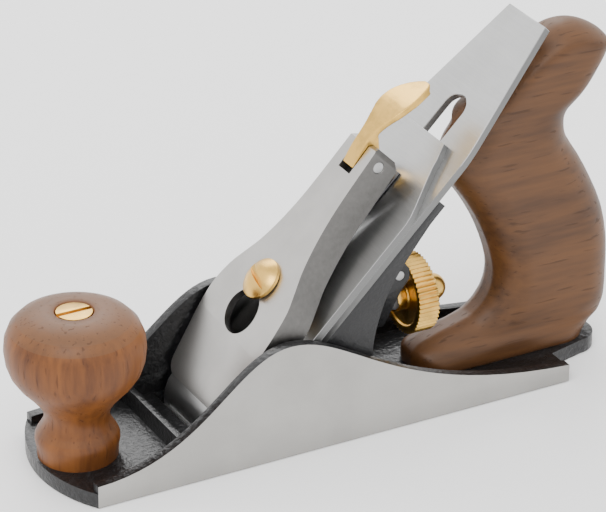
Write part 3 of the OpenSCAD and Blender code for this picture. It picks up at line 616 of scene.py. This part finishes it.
# How far in from the outline the grip is rounded, and the horn's start and crown
GRIP_ROUND = 14.0 * MM
HORN_Z = 106.0 * MM
HORN_DROP = 6.0 * MM
HORN_RUN = 14.0 * MM
# The tote's flat foot ends below the first height; the second is left unsanded
FOOT_TOP = 20.0 * MM
FOOT_KEPT = 0.8 * MM
FOOT_BLEND = 3.0 * MM
TOTE_VOXEL = 1.0 * MM
# What stays as cut round the nut's seat: radius about the rod, half width and depth below the nut
SEAT_REACH = 8.2 * MM
SEAT_HALF = 8.0 * MM
SEAT_BELOW = 4.0 * MM


def outline_tree(piece, reach, horn_z):
    """The strips that run right across a flat outline, without its foot and the top of its horn"""
    strips = []
    for face in piece.data.polygons:
        points = [piece.data.vertices[i].co.copy() for i in face.vertices]
        spans = max(abs(point.y) for point in points) >= reach
        horn_top = face.normal.z > 0.2 and face.center.z > horn_z
        if spans and abs(face.normal.y) < 0.3 and face.normal.z > -0.98 and not horn_top:
            strips.append(points)
    corners = [point for strip in strips for point in strip]
    sides = []
    for strip in strips:
        start = len(sides) and sides[-1][-1] + 1
        sides.append(list(range(start, start + len(strip))))
    return BVHTree.FromPolygons(corners, sides)


def sand_lightly(piece, above, passes):
    """Smooths a piece above a height, fading in so that its foot stays flat"""
    group = piece.vertex_groups.new(name="sanded")
    for vertex in piece.data.vertices:
        if vertex.co.z > above:
            group.add([vertex.index], min(1.0, (vertex.co.z - above) / FOOT_BLEND), "ADD")
    apply(piece, "SMOOTH", factor=0.5, iterations=passes, vertex_group="sanded")
    pick_only(piece)
    bpy.ops.object.shade_smooth_by_angle(angle=math.radians(40))


class PLANE_OT_tote(bpy.types.Operator):
    """Round the rear tote's grip over its flat foot and add its rod, nut and washer"""

    bl_idname = "plane.tote"
    bl_label = "Rear Tote"

    def execute(self, context):
        sizes = context.scene.plane_sizes
        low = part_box("tote")[0]
        piece = copy_of("tote", "tote_shaped")
        grip = [vertex.co for vertex in piece.data.vertices if vertex.co.z > low[2] + FOOT_TOP]
        half = max(abs(place.y) for place in grip)
        rim = outline_tree(piece, half - 0.5 * MM, HORN_Z)
        nut_low, nut_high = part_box("tote_nut")
        rod_low, rod_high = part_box("tote_rod")
        foot_end = Vector((rod_high[0], 0, rod_low[2]))
        nut_end = Vector(((nut_low[0] + nut_high[0]) / 2, 0, nut_high[2]))
        apply(piece, "REMESH", mode="VOXEL", voxel_size=TOTE_VOXEL, use_smooth_shade=True)
        for vertex in piece.data.vertices:
            place = vertex.co.copy()
            line = intersect_point_line(place, foot_end, nut_end)[0]
            by_seat = (place - line).length < SEAT_REACH and abs(place.y) < SEAT_HALF
            if by_seat and place.z > nut_low[2] - SEAT_BELOW:
                continue
            depth = rim.find_nearest(Vector((place.x, 0, place.z)))[3]
            share = min(1.0, (depth + 0.5 * MM) / GRIP_ROUND)
            vertex.co.y = place.y * math.sqrt(1 - (1 - share) ** 2)
            crown = max(0.0, min(1.0, (place.z - HORN_Z) / HORN_RUN))
            vertex.co.z -= HORN_DROP * crown * (vertex.co.y / half) ** 2
        sand_lightly(piece, low[2] + FOOT_KEPT, sizes.tote_round)
        finish_piece(piece, "body", "tote_wood", "tote")
        worked_copy("tote_rod", "tote_rod_finished", "body", "steel", sizes.small_edge)
        worked_copy("tote_nut", "tote_nut_finished", "body", "brass", sizes.small_edge)
        worked_copy("tote_washer", "tote_washer_finished", "body", "brass", sizes.small_edge)
        return {"FINISHED"}


FLOOR_SIZE = 12
FLOOR_Z = -0.4 * MM
STUDIO_LIGHT = 1.8
# Name, place, power and width of each soft light
LIGHTS = (("Key light", (-0.5, -0.5, 1.1), 7.0, 0.7), ("Back light", (0.3, 0.9, 0.9), 7.0, 0.8))
CAMERA_PLACE = (-0.5931, -1.0723, 0.7008)
CAMERA_RIGHT = (0.87908, -0.47664, 0.00514)
CAMERA_UP = (0.21579, 0.40757, 0.88731)
CAMERA_BACK = (-0.42502, -0.77891, 0.46114)
CAMERA_LENS = 214.3


class PLANE_OT_stage(bpy.types.Operator):
    """Set the floor, the soft lights and the camera"""

    bl_idname = "plane.stage"
    bl_label = "Stage"

    def execute(self, context):
        bpy.ops.object.select_all(action="DESELECT")
        bpy.ops.mesh.primitive_plane_add(size=FLOOR_SIZE, location=(0, 0, FLOOR_Z))
        floor = context.object
        floor.name = "floor"
        paper = Finish("Pale floor")
        grain = paper.noise(60, detail=2)
        paper.set(Base_Color=paper.blend(grain, (0.95, 0.95, 0.95), (0.97, 0.97, 0.97)), Roughness=0.9)
        floor.data.materials.append(paper.material)
        world = bpy.data.worlds.new("Studio")
        context.scene.world = world
        world.use_nodes = True
        world.node_tree.nodes["Background"].inputs["Color"].default_value = (1, 1, 1, 1)
        world.node_tree.nodes["Background"].inputs["Strength"].default_value = STUDIO_LIGHT
        for name, place, power, size in LIGHTS:
            light = bpy.data.lights.new(name, "AREA")
            light.energy = power
            light.size = size
            lamp = bpy.data.objects.new(name, light)
            context.scene.collection.objects.link(lamp)
            lamp.location = place
            lamp.rotation_euler = (-Vector(place)).to_track_quat("-Z", "Y").to_euler()
        lens = bpy.data.cameras.new("Camera")
        lens.lens = CAMERA_LENS
        lens.sensor_width = 36.0
        lens.clip_end = 20
        camera = bpy.data.objects.new("Camera", lens)
        context.scene.collection.objects.link(camera)
        turn = Matrix((CAMERA_RIGHT, CAMERA_UP, CAMERA_BACK)).transposed().to_4x4()
        camera.matrix_world = Matrix.Translation(CAMERA_PLACE) @ turn
        context.scene.camera = camera
        return {"FINISHED"}


# ---- Add-on layout ----------------------------------------------------------------

PIECES = (PLANE_OT_casting, PLANE_OT_frog, PLANE_OT_depth, PLANE_OT_iron, PLANE_OT_lateral, PLANE_OT_cap,
          PLANE_OT_knob, PLANE_OT_tote, PLANE_OT_stage)


class PLANE_PT_sidebar(bpy.types.Panel):
    """Sizes, colours and pieces of the smoothing plane"""

    bl_idname = "PLANE_PT_sidebar"
    bl_label = "Smoothing Plane"
    bl_space_type = "VIEW_3D"
    bl_region_type = "UI"
    bl_category = "Plane"

    def draw(self, context):
        column = self.layout.column(align=True)
        for group in (context.scene.plane_sizes, context.scene.plane_colours):
            for name in group.__annotations__:
                column.prop(group, name)
        for piece in PIECES:
            column.operator(piece.bl_idname)


CLASSES = (PlaneSizes, PlaneColours) + PIECES + (PLANE_PT_sidebar,)


def register():
    for each in CLASSES:
        bpy.utils.register_class(each)
    bpy.types.Scene.plane_sizes = bpy.props.PointerProperty(type=PlaneSizes)
    bpy.types.Scene.plane_colours = bpy.props.PointerProperty(type=PlaneColours)


def unregister():
    del bpy.types.Scene.plane_colours
    del bpy.types.Scene.plane_sizes
    for each in reversed(CLASSES):
        bpy.utils.unregister_class(each)


def main():
    register()
    make_finishes()
    bpy.ops.plane.casting()
    bpy.ops.plane.frog()
    bpy.ops.plane.depth()
    bpy.ops.plane.iron()
    bpy.ops.plane.lateral()
    bpy.ops.plane.cap()
    bpy.ops.plane.knob()
    bpy.ops.plane.tote()
    bpy.ops.plane.stage()


if __name__ == "__main__":
    main()
